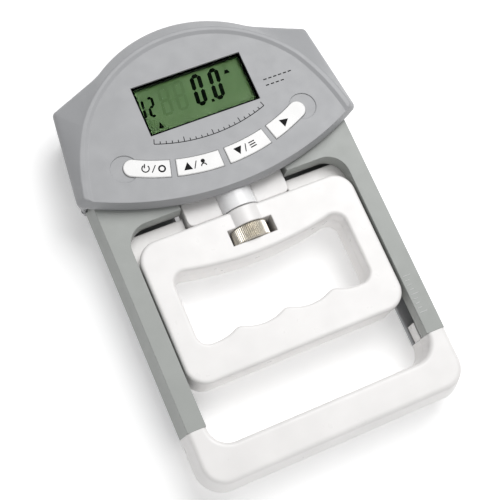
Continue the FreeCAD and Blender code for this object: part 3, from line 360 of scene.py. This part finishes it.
# ---------------------------------------------------------------- battery springs
def make_springs():
    """Two conical coil springs, each wound inside the cone that its CAD solid fills."""
    wire, turns, steps_per_turn = 0.3 * MM, 5, 16
    wide_end, taper, drawn_out = 3.5 * MM, 1.4 * MM, 0.92
    curve = bpy.data.curves.new("springs_coiled", "CURVE")
    curve.dimensions = "3D"
    curve.bevel_depth = wire
    curve.bevel_resolution = 3
    low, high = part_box("battery_springs")
    for battery, side in (("battery_lower", -1), ("battery_upper", 1)):
        cell_low, cell_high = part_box(battery)
        middle = (cell_low + cell_high) / 2
        outer = high.x if side > 0 else low.x
        inner = cell_high.x if side > 0 else cell_low.x
        steps = turns * steps_per_turn
        spline = curve.splines.new("POLY")
        spline.points.add(steps)
        for k in range(steps + 1):
            share = k / steps
            reach = wide_end - taper * share - wire
            angle = 2 * math.pi * turns * share
            x = outer - side * wire + (inner - outer) * share * drawn_out
            y = middle.y + reach * math.cos(angle)
            z = middle.z + reach * math.sin(angle)
            spline.points[k].co = (x, y, z, 1)
    springs = bpy.data.objects.new("springs_coiled", curve)
    bpy.context.scene.collection.objects.link(springs)
    curve.materials.append(MATERIALS["spring_steel"])
    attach(springs, "frame")
    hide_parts("battery_springs")


# ---------------------------------------------------------------- display
# each segment of a digit: its column, its row, and whether it lies flat
SEGMENTS = {
    "top": (0, 2, True), "middle": (0, 1, True), "bottom": (0, 0, True),
    "top_left": (0, 1, False), "top_right": (1, 1, False),
    "low_left": (0, 0, False), "low_right": (1, 0, False),
}
DIGITS = {
    "0": ("top", "bottom", "top_left", "top_right", "low_left", "low_right"),
    "1": ("top_right", "low_right"),
    "2": ("top", "top_right", "middle", "low_left", "bottom"),
    "8": tuple(SEGMENTS),
}
SLANT = 0.12


def segment(kind, corner, width, height, stroke):
    """The six-sided outline of one display segment, leaning with the digit."""
    column, row, flat = SEGMENTS[kind]
    gap_share = 0.05
    gap = stroke * gap_share
    half = stroke / 2
    x0 = corner.x + half + column * (width - stroke)
    y0 = corner.y + half + row * (height - stroke) / 2
    reach = (width - stroke if flat else (height - stroke) / 2) - gap
    along = [(gap, 0), (half, -half), (reach - half + gap, -half),
             (reach, 0), (reach - half + gap, half), (half, half)]
    outline = [(x0 + a, y0 + b) if flat else (x0 - b, y0 + a) for a, b in along]
    return [(x + (y - corner.y) * SLANT, y) for x, y in outline]


def make_display():
    """Lit digits, a marker and the faint resting segments, as thin films on the glass."""
    low = WINDOW_LOW
    film = 0.03 * MM
    lit = ([], [])
    faint = ([], [])

    def digit(text, x, y, width, height, stroke, target):
        for kind in DIGITS[text]:
            outline = segment(kind, low + Vector((x, y, 0)), width, height, stroke)
            slab(outline, LCD_TOP, LCD_TOP + film, *target)

    def mark(outline, x, y):
        placed = [(low.x + x + across, low.y + y + up) for across, up in outline]
        slab(placed, LCD_TOP, LCD_TOP + film, *lit)

    tall, wide, stroke, base = 14.6 * MM, 5.1 * MM, 1.85 * MM, 6.4 * MM
    for x in (23.95 * MM, 32.05 * MM):
        digit("0", x, base, wide, tall, stroke, lit)
    resting_lift, narrower, shorter, thinner = 0.8 * MM, 0.95, 0.93, 0.7
    for x in (9.0 * MM, 15.9 * MM):
        digit("8", x, base + resting_lift, wide * narrower, tall * shorter, stroke * thinner, faint)
    dot, dot_x = 1.3 * MM, 30.65 * MM
    mark([(0, 0), (dot, 0), (dot, dot), (0, dot)], dot_x, base)

    small_tall, small_stroke, small_base = 9.4 * MM, 1.15 * MM, 8.5 * MM
    for text, x, width in (("1", -0.1 * MM, 2.3 * MM), ("2", 3.55 * MM, 3.1 * MM)):
        digit(text, x, small_base, width, small_tall, small_stroke, lit)
    marker_wide, marker_tall = 2.2 * MM, 3 * MM
    mark([(0, 0), (marker_wide, 0), (marker_wide / 2, marker_tall)], 5.1 * MM, 2.9 * MM)
    unit_wide, unit_tall, unit_lean = 2.6 * MM, 1.7 * MM, 0.7 * MM
    mark([(0, 0), (unit_wide, 0), (unit_wide - unit_lean, unit_tall), (unit_lean, unit_tall)],
         40.6 * MM, 16.6 * MM)
    add_piece("display_segments", *lit, "segment_dark", "frame")
    add_piece("display_resting_segments", *faint, "segment_ghost", "frame")


# ---------------------------------------------------------------- printing
def turned(outline, centre, angle):
    """An outline about the origin, turned and moved to its place."""
    cosine, sine = math.cos(angle), math.sin(angle)
    return [(centre[0] + x * cosine - y * sine, centre[1] + x * sine + y * cosine)
            for x, y in outline]


def on_ring(radius, angle):
    """A point on the key ring; the angle is in degrees from the middle, to the right."""
    turn = math.radians(angle)
    return (RING_CENTRE.x + radius * math.sin(turn), RING_CENTRE.y - radius * math.cos(turn)), turn


def triangle(size, way):
    return [(-size * 0.55, -way * size / 2), (size * 0.55, -way * size / 2), (0, way * size / 2)]


def bar(length, thick):
    return [(-length / 2, -thick / 2), (length / 2, -thick / 2),
            (length / 2, thick / 2), (-length / 2, thick / 2)]


def arc_strip(radius, thick, start, end, steps, centre, angle, low, high, target):
    """A curved stroke made of short wedges, from one angle to another in degrees."""
    for k in range(steps):
        a0 = math.radians(start + (end - start) * k / steps)
        a1 = math.radians(start + (end - start) * (k + 1) / steps)
        inner, outer = radius - thick / 2, radius + thick / 2
        wedge = [(inner * math.cos(a0), inner * math.sin(a0)),
                 (outer * math.cos(a0), outer * math.sin(a0)),
                 (outer * math.cos(a1), outer * math.sin(a1)),
                 (inner * math.cos(a1), inner * math.sin(a1))]
        slab(turned(wedge, centre, angle), low, high, *target)


def person(spot, turn, low, high, target):
    """A plain pictogram of a user: a head over shoulders."""
    up = Vector((-math.sin(turn), math.cos(turn)))
    head_up, head_radius = 0.95 * MM, 0.45 * MM
    shoulders_down, shoulders_radius, stroke = 1.2 * MM, 1.05 * MM, 0.5 * MM
    head = Vector(spot) + up * head_up
    arc_strip(head_radius, head_radius * 2, 0, 360, 12, head, turn, low, high, target)
    foot = Vector(spot) - up * shoulders_down
    arc_strip(shoulders_radius, stroke, 0, 180, 12, foot, turn, low, high, target)


def lines(spot, turn, low, high, target):
    """A plain pictogram of a list: three short strokes."""
    length, thick, spacing = 2.8 * MM, 0.5 * MM, 1.1 * MM
    for step in (-1, 0, 1):
        stroke = [(x, y + step * spacing) for x, y in bar(length, thick)]
        slab(turned(stroke, spot, turn), low, high, *target)


def make_key_symbols():
    """Plain pictograms on the keys, in pairs parted by a stroke, with one on the start key."""
    ring = 84.25 * MM
    low, high = KEY_TOP - INK, KEY_TOP + INK
    marks = {name: ([], []) for name in ("power", "up", "down", "start")}
    arrow = 3.4 * MM
    slash, slash_lean = bar(3.6 * MM, 0.4 * MM), math.radians(68)
    # degrees along the ring, from the middle to the right
    power_at, power_slash_at, circle_at, start_at = -22.7, -20.4, -18.1, 21.2
    slash_after, icon_after = 2.2, 4.5

    spot, turn = on_ring(ring, power_at)
    thick, gap_start, gap_end = 0.5 * MM, 125, 415
    arc_strip(1.5 * MM, thick, gap_start, gap_end, 24, spot, turn, low, high, marks["power"])
    stem_length, stem_up = 1.9 * MM, 1.2 * MM
    slab(turned(bar(thick, stem_length), (spot[0], spot[1] + stem_up), turn),
         low, high, *marks["power"])
    spot, turn = on_ring(ring, power_slash_at)
    slab(turned(slash, spot, turn + slash_lean), low, high, *marks["power"])
    spot, turn = on_ring(ring, circle_at)
    arc_strip(1.3 * MM, 0.7 * MM, 0, 360, 20, spot, turn, low, high, marks["power"])
    for name, way, angle, icon in (("up", 1, -10.8, person), ("down", -1, 4.6, lines)):
        spot, turn = on_ring(ring, angle)
        slab(turned(triangle(arrow, way), spot, turn), low, high, *marks[name])
        spot, turn = on_ring(ring, angle + slash_after)
        slab(turned(slash, spot, turn + slash_lean), low, high, *marks[name])
        spot, turn = on_ring(ring, angle + icon_after)
        icon(spot, turn, low, high, marks[name])
    spot, turn = on_ring(ring, start_at)
    slab(turned(triangle(3.6 * MM, 1), spot, turn - math.pi / 2), low, high, *marks["start"])
    for name, mark in marks.items():
        add_piece("symbol_" + name, *mark, "ink_black", "key_" + name)


def make_panel_print():
    """A plain arc with divisions and two rows of dashes, where the panel has its printing."""
    target = ([], [])
    low, high = PANEL - INK, PANEL + INK
    radius, sweep, stroke = 73.2 * MM, 20, 0.35 * MM
    arc_strip(radius, stroke, 270 - sweep, 270 + sweep, 60,
              (RING_CENTRE.x, RING_CENTRE.y), 0, low, high, target)
    divisions, every = 20, 5
    for k in range(divisions + 1):
        length = (2.2 if k % every == 0 else 1.2) * MM
        spot, turn = on_ring(radius - length / 2, sweep * (2 * k / divisions - 1))
        slab(turned(bar(stroke, length), spot, turn), low, high, *target)
    first_x, first_y, across, down = 30.4 * MM, 56.2 * MM, 2.3 * MM, 2.8 * MM
    dash = bar(1.5 * MM, 0.5 * MM)
    for row, dashes in ((0, 6), (1, 4)):
        for k in range(dashes):
            spot = (first_x + across * k, first_y - down * row)
            slab(turned(dash, spot, 0), low, high, *target)
    add_piece("panel_print", *target, "ink_black", "frame")


def make_arm_scale():
    """Raised scale on the right arm: long marks at the ends and middle, short ones between. Their paler grey is a
    painted highlight, for the light that the raised marks catch.
    """
    target = ([], [])
    relief, stroke, from_edge = 0.12 * MM, 0.35 * MM, 9.4 * MM
    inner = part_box("front_frame")[1].x - from_edge
    first, last, marks, every = -43.8 * MM, -60.4 * MM, 9, 4
    for k in range(marks):
        y = first + (last - first) * k / (marks - 1)
        length = (3.6 if k % every == 0 else 2.2) * MM
        slab(turned(bar(length, stroke), (inner + length / 2, y), 0),
             ARM_FACE - relief, ARM_FACE + relief / 2, *target)
    add_piece("arm_scale", *target, "scale_light", "frame")


# ---------------------------------------------------------------- stage
def make_floor():
    """A plain pale floor that glows a little, so that shadows on it stay light."""
    below = 0.05 * MM
    bpy.ops.mesh.primitive_plane_add(size=6, location=(0, 0, CAD_LOW.z - below))
    floor = bpy.context.object
    floor.name = "floor"
    made = Shader("floor_white", Emission_Color=(1, 1, 1, 1), Emission_Strength=0.26)
    made.colours(made.noise(400 * MM), (0.93, 0.93, 0.93), (0.95, 0.95, 0.95))
    made.ranged(made.noise(200 * MM), 0.6, 0.7, "Roughness")
    floor.data.materials.append(made.material)


def make_light(name, place, size, power):
    """A soft square lamp that faces the middle of the object."""
    data = bpy.data.lights.new(name, "AREA")
    data.size = size
    data.energy = power
    lamp = bpy.data.objects.new(name, data)
    bpy.context.scene.collection.objects.link(lamp)
    lamp.location = place
    lamp.rotation_mode = "QUATERNION"
    lamp.rotation_quaternion = (-Vector(place)).to_track_quat("-Z", "Y")


def make_stage():
    """The floor, a key light above the head to its right, a fill beyond the palm bar, a sky."""
    make_floor()
    make_light("key_light", (0.42, 0.4, 1.0), 0.8, 10)
    make_light("fill_light", (-0.1, -0.8, 0.8), 0.9, 2.4)
    world = bpy.data.worlds.new("studio")
    world.use_nodes = True
    world.node_tree.nodes["Background"].inputs["Color"].default_value = (1, 1, 1, 1)
    world.node_tree.nodes["Background"].inputs["Strength"].default_value = 0.28
    bpy.context.scene.world = world
    bpy.context.scene.view_settings.view_transform = "Standard"


def make_camera():
    """Looks down past the palm bar from the left, rolled so that the head leans left."""
    data = bpy.data.cameras.new("camera")
    data.sensor_width = 36
    data.lens = 82.3
    data.clip_start = 0.01
    azimuth, elevation, roll = math.radians(-46.36), math.radians(71.34), math.radians(23.81)
    aim, distance = Vector((1.24, -4.14, 0)) * MM, 496.05 * MM
    back = Vector((math.sin(azimuth) * math.cos(elevation),
                   -math.cos(azimuth) * math.cos(elevation), math.sin(elevation)))
    camera = bpy.data.objects.new("camera", data)
    bpy.context.scene.collection.objects.link(camera)
    camera.location = aim + back * distance
    camera.rotation_mode = "QUATERNION"
    level = (-back).to_track_quat("-Z", "Y")
    camera.rotation_quaternion = level @ Quaternion((0, 0, 1), roll)
    bpy.context.scene.camera = camera


dress_cad_nodes()
make_knob()
make_screw()
make_springs()
make_display()
make_key_symbols()
make_panel_print()
make_arm_scale()
make_stage()
make_camera()
